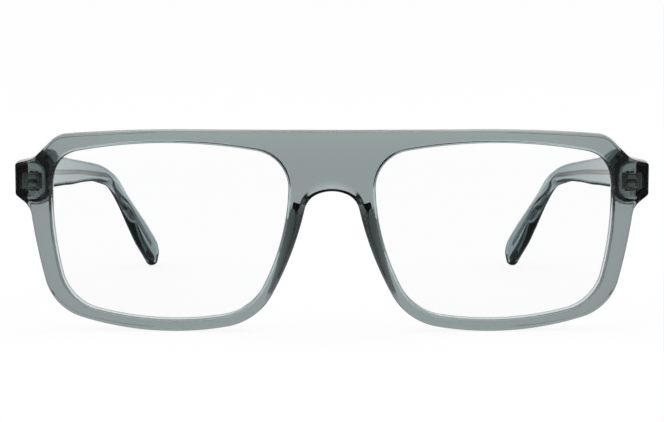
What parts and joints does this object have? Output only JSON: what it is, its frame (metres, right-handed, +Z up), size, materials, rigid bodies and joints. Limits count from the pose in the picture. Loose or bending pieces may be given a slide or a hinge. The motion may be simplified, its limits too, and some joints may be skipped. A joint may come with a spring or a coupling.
{
  "type": "eyeglasses",
  "caption": "Flat-topped navigator eyeglasses in clear grey acetate, with demo lenses, fused nose pads and folding temples on pinned hinges.",
  "frame": {"origin": "on the table under the middle of the open glasses, where the rims and temple tips rest", "axes": "+Z up from the table, -Y the way the wearer looks, +X to the wearer's left"},
  "size_m": [0.1458, 0.1462, 0.0466],
  "materials": {
    "acetate": "polished transparent grey acetate",
    "demo_lens": "clear flat demo lens",
    "hinge_metal": "milled nickel silver",
    "screw_steel": "turned steel",
    "core_steel": "drawn wire"
  },
  "bodies": {
    "front_body": {"front": "acetate", "lens_left": "demo_lens", "lens_right": "demo_lens", "nose_pad_left": "acetate", "nose_pad_right": "acetate", "front_hinge_left": "hinge_metal", "front_hinge_right": "hinge_metal", "hinge_screw_left": "screw_steel", "hinge_screw_right": "screw_steel"},
    "temple_left_body": {"temple_left": "acetate", "temple_hinge_left": "hinge_metal", "temple_core_left": "core_steel"},
    "temple_right_body": {"temple_right": "acetate", "temple_hinge_right": "hinge_metal", "temple_core_right": "core_steel"}
  },
  "joints": [
    {"name": "fold_left", "type": "hinge", "parent": "front_body", "child": "temple_left_body", "pos_m": [0.06849, -0.05934, 0.03409], "axis": [0, 0.0662, 0.9978], "range_deg": [0, 81]},
    {"name": "fold_right", "type": "hinge", "parent": "front_body", "child": "temple_right_body", "pos_m": [-0.06849, -0.05934, 0.03409], "axis": [0, -0.0662, -0.9978], "range_deg": [0, 76]}
  ]
}
